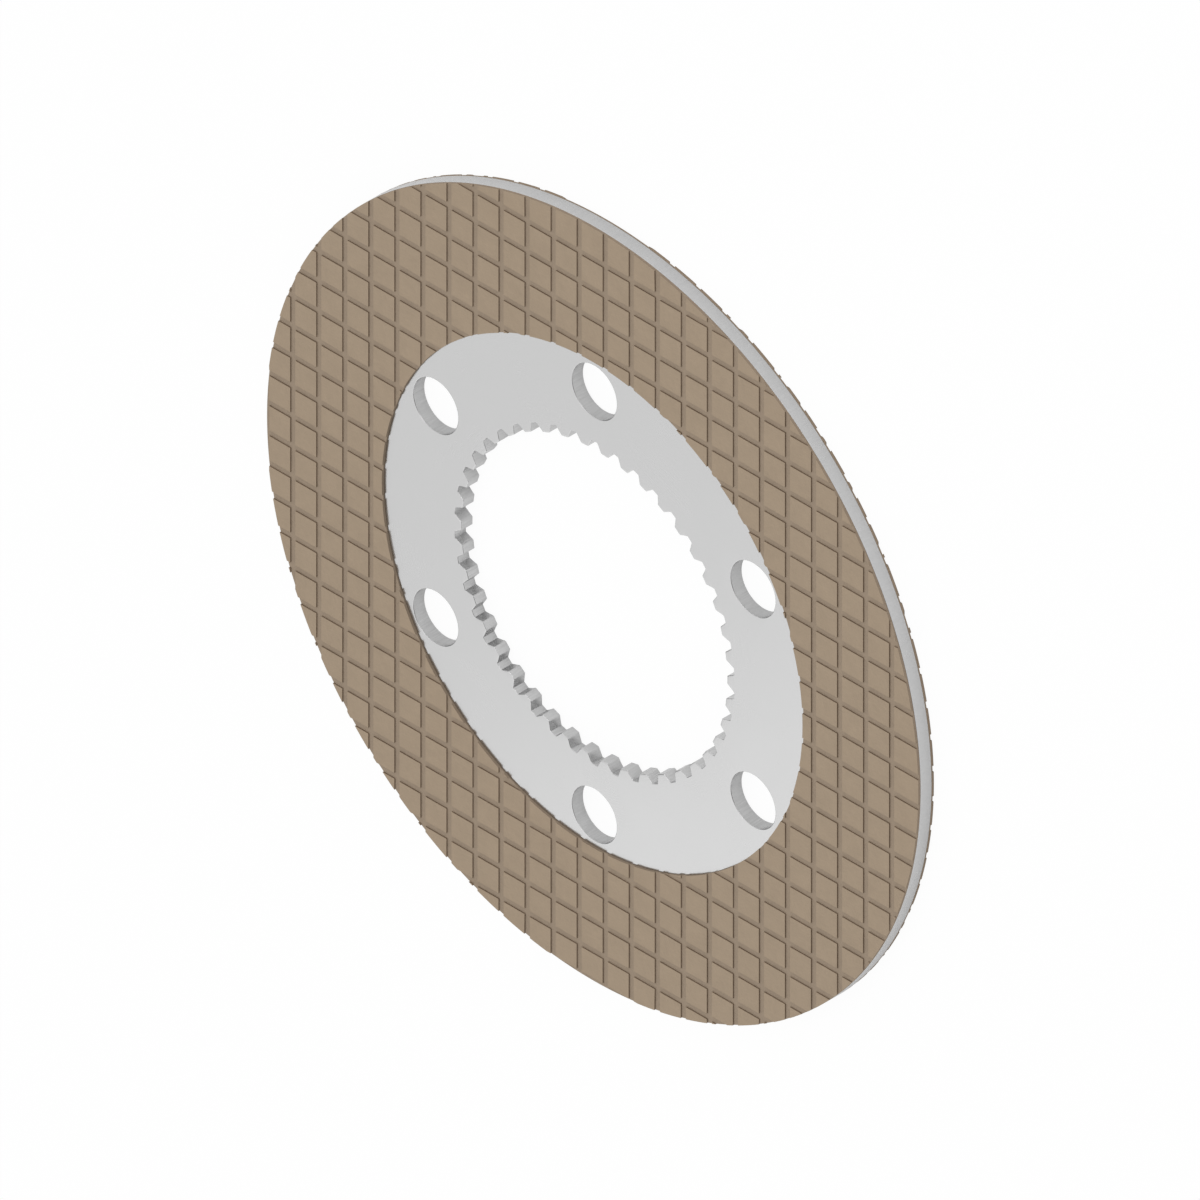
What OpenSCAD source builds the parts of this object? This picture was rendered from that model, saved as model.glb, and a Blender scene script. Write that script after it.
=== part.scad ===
// Transmission brake disc, the driven plate of a wet brake pack. A steel core plate slides on a
// splined hub, and a friction lining with a waffle pattern of grooves is bonded to each face.
// The axis of the disc is Z. The disc lies flat: the free face of the rear lining is at z = 0
// and the free face of the front lining is on top.

/* [Core plate] */
// Outside diameter of the steel plate, with the linings flush to it
plate_d = 320; // [290:0.5:340]
// Thickness of the steel plate
plate_t = 5.5; // [3:0.1:10]

/* [Spline] */
// Number of teeth inside the bore
tooth_count = 42; // [38:1:44]
// Module of the teeth: pitch diameter divided by their number
tooth_module = 3.175; // [2.9:0.005:3.3]
// Pressure angle of the flanks, in degrees
pressure_angle = 30; // [25:0.5:37.5]
// How far a tooth tip stands inside the pitch circle
tip_height = 1.45; // [1:0.05:1.8]
// How far a tooth space reaches outside the pitch circle
root_depth = 2; // [1.4:0.05:2.4]
// Radius that breaks the edges of a tooth tip
tooth_edge_r = 0.3; // [0.1:0.05:0.5]

/* [Oil holes] */
// Number of holes through the web
hole_count = 6; // [3:1:8]
// Diameter of a hole
hole_d = 22.1; // [12:0.1:24]
// Diameter of the circle that the hole centres lie on
hole_pcd = 179.7; // [176:0.1:190]
// Angle of the first hole, which a tooth space lines up with
first_hole_angle = 30; // [0:5:60]

/* [Linings] */
// Thickness of a lining
lining_t = 1.1; // [0.8:0.05:2.5]
// Bare steel left between the holes and the inner edge of a lining
lining_margin = 2.25; // [0.5:0.05:8]
// Distance from one groove to the next, both ways
groove_pitch = 12.77; // [10:0.01:20]
// Width of a groove
groove_w = 2.45; // [1:0.05:4]
// Depth of a groove below the free face of a lining
groove_depth = 0.55; // [0.2:0.05:0.7]

/* [Hidden] */
$fn = 180;
steel = [0.8, 0.8, 0.8];
friction_brown = [0.62, 0.55, 0.47];
// How far a cutting shape runs past what it cuts
past = 1;
// How far two outlines that join into one lap over each other
lap = 0.02;

plate_r = plate_d / 2;
lining_r = hole_pcd / 2 + hole_d / 2 + lining_margin;

// Radii of the spline, with the tooth tips at the smallest
pitch_r = tooth_count * tooth_module / 2;
base_r = pitch_r * cos(pressure_angle);
tip_r = pitch_r - tip_height;
root_r = pitch_r + root_depth;

// Grooves lie in pairs about the axis, which passes through the middle of a pad
groove_pairs = ceil((plate_r + groove_w / 2) / groove_pitch - 0.5);
groove_places = [for (k = [1 : groove_pairs]) each [-1, 1] * (k - 0.5) * groove_pitch];

// Involute function of an angle, in degrees
function involute(angle) = tan(angle) * 180 / PI - angle;

// Half the angle that a tooth space spans at radius r
function space_angle(r) =
    90 / tooth_count + involute(pressure_angle) - involute(acos(base_r / r));

// Angle that the edge radius spans at radius r
function edge_angle(r) = tooth_edge_r / r * 180 / PI;

function polar(r, angle) = r * [cos(angle), sin(angle)];
function flank(r) = polar(r, space_angle(r));

// Points of a curve that rounds the corner on the way from one point to the next
function rounded(from, corner, to) =
    [for (t = [0, 0.5, 1]) (1 - t) ^ 2 * from + 2 * t * (1 - t) * corner + t ^ 2 * to];

function mirrored(points) = [for (k = [len(points) - 1 : -1 : 0]) [points[k].x, -points[k].y]];

// One side of a tooth space that points along X, from just inside the bore out to the root
space_side = concat(
    rounded(polar(tip_r - lap, space_angle(tip_r) + edge_angle(tip_r)),
            flank(tip_r), flank(tip_r + tooth_edge_r)),
    [flank(pitch_r), flank(root_r)]
);

// Outline of the bore: the circle of the tooth tips and the tooth spaces around it
module splined_bore() {
    circle(r = tip_r);
    for (k = [0 : tooth_count - 1])
        rotate(first_hole_angle + k * 360 / tooth_count)
            polygon(concat(mirrored(space_side), space_side));
}

module oil_holes() {
    for (k = [0 : hole_count - 1])
        rotate(first_hole_angle + k * 360 / hole_count)
            translate([hole_pcd / 2, 0]) circle(d = hole_d);
}

module core_plate() {
    color(steel)
        translate([0, 0, lining_t])
            linear_extrude(plate_t)
                difference() {
                    circle(r = plate_r);
                    splined_bore();
                    oil_holes();
                }
}

module lining_ring() {
    linear_extrude(lining_t)
        difference() {
            circle(r = plate_r);
            circle(r = lining_r);
        }
}

// Bars that cut the grooves of one direction into a lining on the plane z = 0
module groove_bars(turn) {
    reach = plate_r + past;
    rotate(turn)
        for (place = groove_places)
            translate([place - groove_w / 2, -reach, lining_t - groove_depth])
                cube([groove_w, 2 * reach, groove_depth + past]);
}

// A lining on the plane z = 0, with its grooves open at the top
module lining() {
    color(friction_brown)
        difference() {
            difference() {
                lining_ring();
                groove_bars(0);
            }
            groove_bars(90);
        }
}

module front_lining() {
    translate([0, 0, lining_t + plate_t]) lining();
}

module rear_lining() {
    translate([0, 0, lining_t]) mirror([0, 0, 1]) lining();
}

core_plate();
front_lining();
rear_lining();
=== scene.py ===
"""Looks of the transmission brake disc: its surfaces, and the light, floor and camera around it.

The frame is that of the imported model, in metres: the disc lies on z = 0 and its axis is Z. The three
visual pieces have the form of the CAD nodes they replace, with round circles and broken edges.
"""
import math

import bmesh
import bpy
from mathutils import Matrix, Vector
from mathutils.geometry import delaunay_2d_cdt


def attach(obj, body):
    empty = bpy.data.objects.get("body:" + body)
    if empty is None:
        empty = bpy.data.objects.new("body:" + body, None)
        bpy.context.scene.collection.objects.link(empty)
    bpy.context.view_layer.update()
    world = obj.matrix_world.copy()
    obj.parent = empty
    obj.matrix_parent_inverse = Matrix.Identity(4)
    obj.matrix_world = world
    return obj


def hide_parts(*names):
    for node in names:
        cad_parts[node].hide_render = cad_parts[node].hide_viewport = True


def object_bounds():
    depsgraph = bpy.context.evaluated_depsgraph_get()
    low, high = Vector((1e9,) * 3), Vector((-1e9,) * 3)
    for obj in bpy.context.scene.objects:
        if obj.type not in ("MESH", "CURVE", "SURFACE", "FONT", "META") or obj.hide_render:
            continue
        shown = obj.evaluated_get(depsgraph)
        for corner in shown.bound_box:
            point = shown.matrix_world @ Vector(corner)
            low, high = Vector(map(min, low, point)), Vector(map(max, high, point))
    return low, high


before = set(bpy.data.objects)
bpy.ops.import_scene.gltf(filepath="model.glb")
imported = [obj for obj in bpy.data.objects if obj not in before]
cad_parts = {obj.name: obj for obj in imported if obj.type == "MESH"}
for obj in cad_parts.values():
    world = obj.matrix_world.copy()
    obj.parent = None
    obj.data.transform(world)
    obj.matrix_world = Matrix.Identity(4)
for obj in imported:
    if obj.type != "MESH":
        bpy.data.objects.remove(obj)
cad_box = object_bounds()

MM = 0.001

# How wide the broken edges are, in millimetres
STEEL_EDGE = 0.25
STEEL_RIM_EDGE = 0.15
LINING_EDGE = 0.06
# How far the sharp outline of the holes and teeth lies inside the one that is seen on the broken edge
EDGE_INSET = 0.10

# Sizes in millimetres, as in the source of the CAD model
PLATE_R = 160.0
PLATE_T = 5.5
TEETH = 42
TOOTH_MODULE = 3.175
TIP_HEIGHT = 1.45
ROOT_DEPTH = 2.0
PRESSURE_ANGLE = math.radians(30)
PITCH_R = TEETH * TOOTH_MODULE / 2
TIP_R = PITCH_R - TIP_HEIGHT - EDGE_INSET
ROOT_R = PITCH_R + ROOT_DEPTH - EDGE_INSET
TOOTH_EDGE = 0.3
HOLE_R = 11.05 - EDGE_INSET
HOLE_CIRCLE_R = 89.85
HOLE_ANGLES = [math.radians(30 + 60 * k) for k in range(6)]
LINING_R = 103.15
LINING_T = 1.1
GROOVE_PITCH = 12.77
GROOVE_W = 2.45
GROOVE_DEPTH = 0.55
# Rows of pads on each side of the one on the axis
PAD_ROWS = 12
# A radius past the rim
BEYOND_R = PLATE_R + 1

# How finely the outlines are drawn
RIM_POINTS = 720
HOLE_POINTS = 96
LINING_RIM_POINTS = 360
LINING_BORE_POINTS = 240
FLANK_STEPS = 5
CORNER_STEPS = 4
EDGE_STEPS = 2
# Points of a plan that lie nearer to each other than this, in millimetres, become one
PLATE_NEARNESS = 0.001
LINING_NEARNESS = 0.2
# Edges that turn by more than the first angle are broken, and by more than the second shaded as sharp
BROKEN_FROM = math.radians(40)
SHARP_FROM = math.radians(50)

# Colours, as linear values
STEEL = (0.59, 0.59, 0.59)
LINING = (0.345, 0.267, 0.190)
# Groove floors: the paper's colour darkened by painted shade of the groove
LINING_GROOVE_SHADED = (0.308, 0.240, 0.176)
# Groove walls: the paper's darker cut edge, darkened further by painted shade of the grooves
LINING_CUT_SHADED = (0.180, 0.128, 0.088)
LINING_RIM = (0.265, 0.203, 0.148)
FLOOR = (0.9, 0.9, 0.9)
WHITE = (1.0, 1.0, 1.0)

# Detail of the surfaces, in features per metre
RINGS_OUTWARD = 7000.0
MARKS_AROUND = 1800.0
MARKS_ALONG_AXIS = 120.0
FIBRES_ALONG = 350.0
FIBRES_ACROSS = 2600.0
PORES = 2200.0
CLOUDS = 45.0
MOTTLE = 120.0
GRAIN = 4000.0
# How often the rings change on their way around the axis, per radian
RING_CHANGES = 14.0

# The photograph's view: from the corner direction of a cube, with the Y axis upright
TO_CAMERA = Vector((1, 1, 1)).normalized()
VIEW_WIDTH = 416.16 * MM
VIEW_SHIFT_RIGHT = 2.75 * MM
VIEW_SHIFT_UP = 1.55 * MM
CAMERA_DISTANCE = 2.0
CAMERA_REACH = 10.0

# Light, where 1 in all shows a white surface as white
SKY_LEVEL = 0.81
KEY_LEVEL = 0.15
# How much lighter the sky is low above +Y
SIDE_LIGHT = 0.5
# Brightness of the panel that the steel face mirrors
PANEL_LEVEL = 0.20
# Sides and distances of the lamps, in metres
KEY_SIDE = 1.2
KEY_DISTANCE = 2.0
PANEL_SIDE = 0.8
PANEL_DISTANCE = 0.8
PANEL_ASIDE = 0.4

# The floor, in metres, a little below the disc so that the two don't coincide
FLOOR_HALF = 3.0
FLOOR_DROP = 0.05 * MM
# Share of the disc's shadow that the camera sees on the floor, and share that steel mirrors in it
FLOOR_SHADOW = 0.05
MIRRORED_SHADOW = 0.85

# Soft dark cards in the white studio, for metal to mirror: azimuth, elevation, inner and outer
# radius of the soft edge, in degrees, and brightness
DARK_CARDS = [
    (45, 60, 20, 50, 0.64),
    (-11, 34, 12, 44, 0.08),
    (189, 25, 10, 29, 0.08),
    (79, 26, 8, 22, 0.35),
]


def circle(radius, count, centre=(0.0, 0.0)):
    """Corners of a circle, anticlockwise."""
    steps = [2 * math.pi * k / count for k in range(count)]
    return [(centre[0] + radius * math.cos(a), centre[1] + radius * math.sin(a)) for a in steps]


def polar(radius, angle):
    """Point at a radius and an angle."""
    return radius * math.cos(angle), radius * math.sin(angle)


def half_space(radius):
    """Half the angle that a tooth space of the involute spline spans at a radius."""
    def involute(angle):
        return math.tan(angle) - angle

    base_r = PITCH_R * math.cos(PRESSURE_ANGLE)
    space = math.pi / 2 / TEETH + involute(PRESSURE_ANGLE) - involute(math.acos(base_r / radius))
    return space - EDGE_INSET / radius


def rounded(start, corner, end):
    """Points of a curve that rounds a corner."""
    points = []
    for k in range(CORNER_STEPS + 1):
        t = k / CORNER_STEPS
        weights = (1 - t) ** 2, 2 * t * (1 - t), t ** 2
        points.append(tuple(sum(w * p[i] for w, p in zip(weights, (start, corner, end))) for i in (0, 1)))
    return points


def spline_outline():
    """Outline of the bore, tooth space after tooth space."""
    def flank(radius):
        return polar(radius, half_space(radius))

    side = rounded(polar(TIP_R, half_space(TIP_R) + TOOTH_EDGE / TIP_R), flank(TIP_R),
                   flank(TIP_R + TOOTH_EDGE))
    straight = ROOT_R - TIP_R - TOOTH_EDGE
    side += [flank(TIP_R + TOOTH_EDGE + straight * k / FLANK_STEPS) for k in range(1, FLANK_STEPS + 1)]
    space = [(x, -y) for x, y in side] + side[::-1]
    outline = []
    for k in range(TEETH):
        turn = Matrix.Rotation(HOLE_ANGLES[0] + 2 * math.pi * k / TEETH, 2)
        outline += [tuple(turn @ Vector(p)) for p in space]
    return outline


def pad_outlines():
    """Squares between the grooves, wherever one reaches into the lining. A last groove cuts the rim
    at -X and -Y, but at +X and +Y the pads run on past it, as the photograph shows."""
    half = (GROOVE_PITCH - GROOVE_W) / 2
    middles = [GROOVE_PITCH * i for i in range(-PAD_ROWS, PAD_ROWS + 1)]
    spans = [(middle - half, middle + half) for middle in middles]
    spans[-1] = (spans[-1][0], BEYOND_R)
    pads = []
    for (x0, x1), (y0, y1) in [(across, along) for across in spans for along in spans]:
        nearest = math.hypot(max(x0, -x1, 0), max(y0, -y1, 0))
        farthest = math.hypot(max(-x0, x1), max(-y0, y1))
        if nearest < PLATE_R and farthest > LINING_R:
            pads.append([(x0, y0), (x1, y0), (x1, y1), (x0, y1)])
    return pads


def solid_over(loops, top_of, levels, nearness):
    """A closed mesh over a plan. The loops cut the plan into triangles, and top_of gives the height
    over a triangle from the numbers of the loops it lies in, or None where nothing is. The bottom is
    at the first of the levels, and upright walls have a row of vertices at each level."""
    points = [Vector(p) for loop in loops for p in loop]
    faces = []
    start = 0
    for loop in loops:
        faces.append(list(range(start, start + len(loop))))
        start += len(loop)
    places, _, triangles, _, _, inside = delaunay_2d_cdt(points, [], faces, 1, nearness)
    bm = bmesh.new()
    made = {}

    def vertex(i, z):
        if (i, z) not in made:
            made[i, z] = bm.verts.new((places[i].x * MM, places[i].y * MM, z * MM))
        return made[i, z]

    side_tops = {}
    for triangle, numbers in zip(triangles, inside):
        top = top_of(set(numbers))
        if top is None:
            continue
        bm.faces.new([vertex(i, top) for i in triangle])
        bm.faces.new([vertex(i, levels[0]) for i in reversed(triangle)])
        for a, b in zip(triangle, triangle[1:] + triangle[:1]):
            side_tops[a, b] = top
    for (a, b), top in side_tops.items():
        low = side_tops.get((b, a), levels[0])
        rows = [z for z in levels if low <= z <= top]
        for z0, z1 in zip(rows, rows[1:]):
            bm.faces.new((vertex(a, z0), vertex(b, z0), vertex(b, z1), vertex(a, z1)))
    return bm


def break_edges(bm, width, from_radius, to_radius):
    """Rounds the sharp outer edges that lie between two radii."""
    bm.normal_update()
    sharp = [e for e in bm.edges if e.is_convex and e.calc_face_angle() > BROKEN_FROM
             and from_radius * MM < e.verts[0].co.xy.length < to_radius * MM]
    bmesh.ops.bevel(bm, geom=sharp, offset=width * MM, offset_type="OFFSET", segments=EDGE_STEPS,
                    profile=0.5, affect="EDGES", clamp_overlap=False)


def make_piece(bm, name, node, material, place):
    """Turns the mesh into a piece that stands for a CAD node, and frees bm."""
    bmesh.ops.transform(bm, matrix=place, verts=bm.verts)
    mesh = bpy.data.meshes.new(name)
    bm.to_mesh(mesh)
    bm.free()
    mesh.shade_smooth()
    mesh.set_sharp_from_angle(angle=SHARP_FROM)
    mesh.materials.append(material)
    piece = bpy.data.objects.new(name, mesh)
    bpy.context.scene.collection.objects.link(piece)
    weighted = piece.modifiers.new("flat_faces_stay_flat", "WEIGHTED_NORMAL")
    weighted.keep_sharp = True
    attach(piece, "root")
    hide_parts(node)


def plate_mesh():
    """The steel plate, lying on z = 0."""
    holes = [circle(HOLE_R, HOLE_POINTS, polar(HOLE_CIRCLE_R, a)) for a in HOLE_ANGLES]
    loops = [circle(PLATE_R, RIM_POINTS), spline_outline()] + holes

    def top_of(inside):
        return PLATE_T if inside == {0} else None

    bm = solid_over(loops, top_of, [0.0, PLATE_T], PLATE_NEARNESS)
    break_edges(bm, STEEL_EDGE, 0, LINING_R)
    break_edges(bm, STEEL_RIM_EDGE, LINING_R, BEYOND_R)
    return bm


def lining_mesh():
    """A lining that lies on z = 0 with its grooves on top."""
    loops = [circle(PLATE_R, LINING_RIM_POINTS), circle(LINING_R, LINING_BORE_POINTS)] + pad_outlines()
    floor_z = LINING_T - GROOVE_DEPTH

    def top_of(inside):
        if 0 not in inside or 1 in inside:
            return None
        return LINING_T if len(inside) > 1 else floor_z

    bm = solid_over(loops, top_of, [0.0, floor_z, LINING_T], LINING_NEARNESS)
    break_edges(bm, LINING_EDGE, 0, BEYOND_R)
    return bm


class Nodes:
    """Short calls for building the node tree of one material or world."""

    def __init__(self, owner):
        owner.use_nodes = True
        self.tree = owner.node_tree
        self.tree.nodes.clear()

    def add(self, kind, inputs=(), **settings):
        """A node of that kind, with its inputs set to values or joined to sockets."""
        node = self.tree.nodes.new("ShaderNode" + kind)
        for name, value in settings.items():
            setattr(node, name, value)
        for name, value in dict(inputs).items():
            self.put(value, node.inputs[name])
        return node

    def put(self, value, socket):
        if isinstance(value, bpy.types.NodeSocket):
            self.tree.links.new(value, socket)
        else:
            socket.default_value = value

    def math(self, operation, *values):
        node = self.add("Math", operation=operation)
        for socket, value in zip(node.inputs, values):
            self.put(value, socket)
        return node.outputs[0]

    def vector(self, operation, *values):
        """Result of vector maths; the second value of SCALE is a number."""
        node = self.add("VectorMath", operation=operation)
        for place, value in enumerate(values):
            is_scale = operation == "SCALE" and place == 1
            self.put(value, node.inputs["Scale" if is_scale else place])
        return node.outputs["Value" if operation == "DOT_PRODUCT" else "Vector"]

    def ramp(self, value, low, high, to_low=0.0, to_high=1.0):
        """value carried smoothly from low..high to to_low..to_high, and held there."""
        inputs = {"Value": value, "From Min": low, "From Max": high, "To Min": to_low, "To Max": to_high}
        return self.add("MapRange", inputs, interpolation_type="SMOOTHSTEP").outputs["Result"]

    def blend(self, factor, a, b):
        """Colour a turning into colour b."""
        node = self.add("Mix", data_type="RGBA")
        for socket, value in zip((node.inputs[0], node.inputs[6], node.inputs[7]), (factor, a, b)):
            self.put(value, socket)
        return node.outputs[2]

    def mix(self, factor, a, b):
        """Number a turning into number b."""
        node = self.add("Mix", data_type="FLOAT")
        for socket, value in zip((node.inputs[0], node.inputs[2], node.inputs[3]), (factor, a, b)):
            self.put(value, socket)
        return node.outputs[0]

    def shader_mix(self, factor, a, b):
        """Shader a turning into shader b."""
        return self.add("MixShader", {0: factor, 1: a.outputs[0], 2: b.outputs[0]})

    def split(self, vector):
        return self.add("SeparateXYZ", {"Vector": vector}).outputs

    def join(self, x, y, z):
        return self.add("CombineXYZ", {"X": x, "Y": y, "Z": z}).outputs["Vector"]

    def noise(self, place, scale, detail=2.0, roughness=0.5):
        inputs = {"Vector": place, "Scale": scale, "Detail": detail, "Roughness": roughness}
        return self.add("TexNoise", inputs).outputs["Fac"]

    def fibres(self, place):
        """Noise that is drawn out along x."""
        sized = self.vector("MULTIPLY", place, (FIBRES_ALONG, FIBRES_ACROSS, FIBRES_ALONG))
        return self.noise(sized, 1.0, detail=3.0)

    def swing(self, value, middle, gain):
        """How far a value is from its middle, times a gain."""
        return self.math("MULTIPLY", self.math("SUBTRACT", value, middle), gain)

    def toned(self, colour, tone, share):
        """The colour, lighter or darker by a share of the tone."""
        return self.vector("SCALE", colour, self.math("ADD", 1.0, self.math("MULTIPLY", tone, share)))

    def levelness(self):
        """1 on the flat faces and 0 on the upright walls."""
        normal = self.add("NewGeometry").outputs["True Normal"]
        return self.math("ABSOLUTE", self.split(normal)["Z"])

    def from_axis(self, x, y):
        """Distance from the axis of the disc."""
        squares = [self.math("MULTIPLY", value, value) for value in (x, y)]
        return self.math("SQRT", self.math("ADD", *squares))

    def for_rays(self, *kinds):
        """1 for the named kinds of rays, and 0 for the others."""
        path = self.add("LightPath")
        chosen = path.outputs[kinds[0]]
        for kind in kinds[1:]:
            chosen = self.math("MAXIMUM", chosen, path.outputs[kind])
        return chosen


def rgba(colour):
    return (*colour, 1.0)


def steel_material():
    """Satin steel: fine rings on the flat faces, and marks along the axis on the cut walls."""
    material = bpy.data.materials.new("satin_steel")
    n = Nodes(material)
    place = n.add("TexCoord").outputs["Object"]
    x, y, _ = n.split(place)
    radius = n.from_axis(x, y)
    around = n.vector("NORMALIZE", n.join(x, y, 0.0))
    a, b, _ = n.split(n.vector("SCALE", around, RING_CHANGES))
    rings = n.noise(n.join(a, b, n.math("MULTIPLY", radius, RINGS_OUTWARD)), 1.0)
    marks_place = n.vector("MULTIPLY", place, (MARKS_AROUND, MARKS_AROUND, MARKS_ALONG_AXIS))
    marks = n.noise(marks_place, 1.0, detail=3.0, roughness=0.65)
    upright = n.ramp(n.levelness(), 0.35, 0.65, 1.0, 0.0)
    lay = n.mix(upright, rings, marks)
    cloud = n.noise(place, CLOUDS, detail=3.0)
    fine = n.noise(place, GRAIN)
    # The outer rim is smoother than the walls of holes and teeth
    wall_tone = n.ramp(radius, LINING_R * MM, PLATE_R * MM, 4.0, 1.2)
    wall_relief = n.ramp(radius, LINING_R * MM, PLATE_R * MM, 0.25, 0.12)
    tone = n.math("ADD", n.swing(lay, 0.5, n.mix(upright, 0.5, wall_tone)), n.swing(cloud, 0.5, 0.25))
    relief = n.math("ADD", lay, n.math("MULTIPLY", fine, 0.3))
    bump = n.add("Bump", {"Strength": n.mix(upright, 0.03, wall_relief), "Distance": 0.01 * MM,
                          "Height": relief})
    shine = n.math("ADD", n.math("MULTIPLY", lay, 0.5), n.math("MULTIPLY", cloud, 0.5))
    shader = n.add("BsdfPrincipled", {
        "Base Color": n.toned(STEEL, tone, 0.12),
        "Metallic": 1.0,
        "Roughness": n.ramp(shine, 0.3, 0.7, 0.20, 0.28),
        "Normal": bump.outputs["Normal"],
    })
    n.add("OutputMaterial", {"Surface": shader.outputs["BSDF"]})
    return material


def lining_material(name, free_face_z):
    """Friction paper: matted fibres and pores. Painted shade makes the groove floors a little darker and
    the groove walls darkest, on top of the walls' own darker cut edge; the turned edges lie between the
    two."""
    material = bpy.data.materials.new(name)
    n = Nodes(material)
    place = n.add("TexCoord").outputs["Object"]
    x, y, z = n.split(place)
    depth = n.math("ABSOLUTE", n.math("SUBTRACT", z, free_face_z))
    # Painted shade: the groove floors are coloured darker, as if the groove shaded them
    groove_shade = n.ramp(depth, 0.2 * MM, 0.5 * MM)
    cut = n.ramp(n.levelness(), 0.6, 0.95, 1.0, 0.0)
    radius = n.from_axis(x, y)
    turned_edge = n.math("MAXIMUM", n.ramp(radius, (PLATE_R - 0.2) * MM, (PLATE_R - 0.1) * MM),
                         n.ramp(radius, (LINING_R + 0.1) * MM, (LINING_R + 0.2) * MM, 1.0, 0.0))
    # Upright walls: painted shade over the darker cut edge in the grooves, and the turned edges' own colour
    walls = n.blend(turned_edge, rgba(LINING_CUT_SHADED), rgba(LINING_RIM))
    turned = n.add("VectorRotate", {"Vector": place, "Angle": math.radians(65)}).outputs["Vector"]
    fibres = n.math("MAXIMUM", n.fibres(place), n.fibres(turned))
    pores = n.ramp(n.noise(place, PORES), 0.56, 0.68)
    mottle = n.noise(place, MOTTLE, detail=4.0, roughness=0.6)
    tone = n.math("ADD", n.swing(fibres, 0.55, 0.7), n.swing(mottle, 0.5, 0.35))
    tone = n.math("SUBTRACT", tone, n.math("MULTIPLY", pores, 0.10))
    # The paper's colour, with the painted shade of the grooves in it
    paper_and_shade = n.blend(cut, n.blend(groove_shade, rgba(LINING), rgba(LINING_GROOVE_SHADED)), walls)
    relief = n.math("SUBTRACT", fibres, n.math("MULTIPLY", pores, 0.5))
    bump = n.add("Bump", {"Strength": 0.30, "Distance": 0.03 * MM, "Height": relief})
    shader = n.add("BsdfPrincipled", {
        "Base Color": n.toned(paper_and_shade, tone, 0.45),
        "Roughness": n.ramp(fibres, 0.4, 0.7, 0.80, 0.92),
        "Specular IOR Level": 0.25,
        "Normal": bump.outputs["Normal"],
    })
    n.add("OutputMaterial", {"Surface": shader.outputs["BSDF"]})
    return material


def floor_material():
    """A white floor that keeps part of the disc's shadow, and more of it in what steel mirrors."""
    material = bpy.data.materials.new("floor_white")
    n = Nodes(material)
    lit = n.add("BsdfDiffuse", {"Color": rgba(FLOOR)})
    white = n.add("Emission", {"Color": rgba(WHITE), "Strength": 1.0})
    seen = n.math("MULTIPLY", 1 - FLOOR_SHADOW, n.for_rays("Is Camera Ray", "Is Transmission Ray"))
    mirrored = n.math("MULTIPLY", 1 - MIRRORED_SHADOW, n.for_rays("Is Glossy Ray"))
    whole = n.shader_mix(n.math("MAXIMUM", seen, mirrored), lit, white)
    n.add("OutputMaterial", {"Surface": whole.outputs[0]})
    return material


def make_floor():
    mesh = bpy.data.meshes.new("floor")
    signs = ((-1, -1), (1, -1), (1, 1), (-1, 1))
    corners = [(x * FLOOR_HALF, y * FLOOR_HALF, -FLOOR_DROP) for x, y in signs]
    mesh.from_pydata(corners, [], [(0, 1, 2, 3)])
    mesh.materials.append(floor_material())
    floor = bpy.data.objects.new("floor", mesh)
    bpy.context.scene.collection.objects.link(floor)


def direction(azimuth, elevation):
    """Unit vector towards a place in the studio, from angles in degrees."""
    a, e = math.radians(azimuth), math.radians(elevation)
    return Vector((math.cos(a) * math.cos(e), math.sin(a) * math.cos(e), math.sin(e)))


def make_world():
    """White to the camera and to metal, which also mirrors the dark cards, and plain soft light."""
    world = bpy.data.worlds.new("studio")
    bpy.context.scene.world = world
    n = Nodes(world)
    towards = n.vector("NORMALIZE", n.add("TexCoord").outputs["Generated"])
    mirrored = 1.0
    for azimuth, elevation, inner, outer, dark in DARK_CARDS:
        nearness = n.vector("DOT_PRODUCT", towards, direction(azimuth, elevation))
        inside = n.ramp(nearness, math.cos(math.radians(outer)), math.cos(math.radians(inner)))
        mirrored = n.mix(inside, mirrored, dark)
    shown = n.mix(n.for_rays("Is Glossy Ray"), 1.0, mirrored)
    sky = n.math("ADD", SKY_LEVEL, n.ramp(n.split(towards)["Y"], 0.5, 0.95, 0.0, SIDE_LIGHT))
    plain = n.add("Background", {"Color": rgba(WHITE), "Strength": sky})
    white = n.add("Background", {"Color": rgba(WHITE), "Strength": shown})
    seen = n.for_rays("Is Camera Ray", "Is Transmission Ray", "Is Glossy Ray")
    n.add("OutputWorld", {"Surface": n.shader_mix(seen, plain, white).outputs[0]})


def add_softbox(name, place, along, side, radiance):
    """A square soft lamp that faces the middle of the disc, with two of its sides along a direction."""
    lamp = bpy.data.lights.new(name, "AREA")
    lamp.shape = "SQUARE"
    lamp.size = side
    lamp.energy = radiance * math.pi * side ** 2
    item = bpy.data.objects.new(name, lamp)
    away = place.normalized()
    y_axis = away.cross(along).normalized()
    x_axis = y_axis.cross(away)
    item.matrix_world = Matrix.Translation(place) @ Matrix((x_axis, y_axis, away)).transposed().to_4x4()
    item.visible_camera = False
    bpy.context.scene.collection.objects.link(item)


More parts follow.
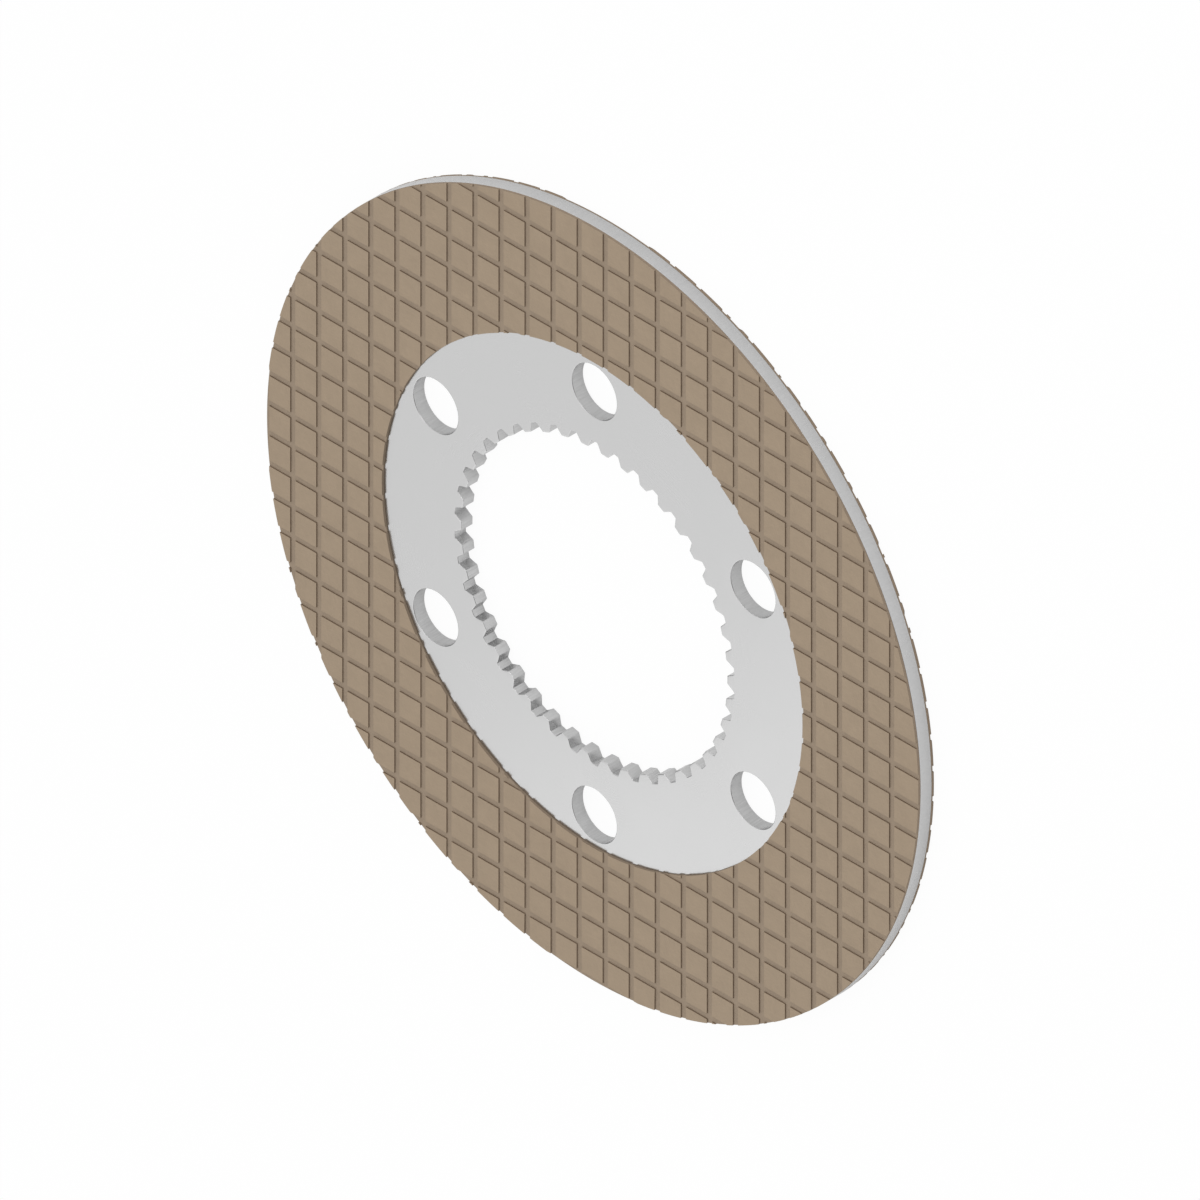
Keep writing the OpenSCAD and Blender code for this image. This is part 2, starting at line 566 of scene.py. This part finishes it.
def make_lamps():
    """A soft key from above, and a panel whose edge the steel face mirrors as a gentle gradient."""
    towards_key = direction(80, 60)
    key_radiance = KEY_LEVEL * math.pi * KEY_DISTANCE ** 2 / KEY_SIDE ** 2 / towards_key.z
    add_softbox("key_softbox", towards_key * KEY_DISTANCE, Vector((1, 0, 0)), KEY_SIDE, key_radiance)
    mirrored = Vector((-1, -1, 1)).normalized()
    bright_side = direction(300, 0)
    sideways = (bright_side - mirrored * bright_side.dot(mirrored)).normalized()
    panel_place = mirrored * PANEL_DISTANCE + sideways * PANEL_ASIDE
    add_softbox("side_panel", panel_place, sideways, PANEL_SIDE, PANEL_LEVEL)


def make_camera():
    """An orthographic camera in the photograph's direction."""
    right = Vector((1, 0, -1)).normalized()
    up = TO_CAMERA.cross(right)
    front_face = Vector((0, 0, cad_box[1].z))
    target = front_face + right * VIEW_SHIFT_RIGHT + up * VIEW_SHIFT_UP
    data = bpy.data.cameras.new("camera")
    data.type = "ORTHO"
    data.ortho_scale = VIEW_WIDTH
    data.clip_end = CAMERA_REACH
    camera = bpy.data.objects.new("camera", data)
    turn = Matrix((right, up, TO_CAMERA)).transposed()
    camera.matrix_world = Matrix.Translation(target + TO_CAMERA * CAMERA_DISTANCE) @ turn.to_4x4()
    bpy.context.scene.collection.objects.link(camera)
    bpy.context.scene.camera = camera


plate_bottom = LINING_T * MM
plate_top = (LINING_T + PLATE_T) * MM
make_piece(plate_mesh(), "steel_plate", "core_plate", steel_material(),
           Matrix.Translation((0, 0, plate_bottom)))
make_piece(lining_mesh(), "front_friction_paper", "front_lining",
           lining_material("front_paper", plate_top + LINING_T * MM), Matrix.Translation((0, 0, plate_top)))
# The rear lining is the same part, turned over about the X axis
make_piece(lining_mesh(), "rear_friction_paper", "rear_lining",
           lining_material("rear_paper", 0.0),
           Matrix.Translation((0, 0, plate_bottom)) @ Matrix.Rotation(math.pi, 4, "X"))
make_floor()
make_world()
make_lamps()
make_camera()
bpy.context.scene.view_settings.view_transform = "Standard"
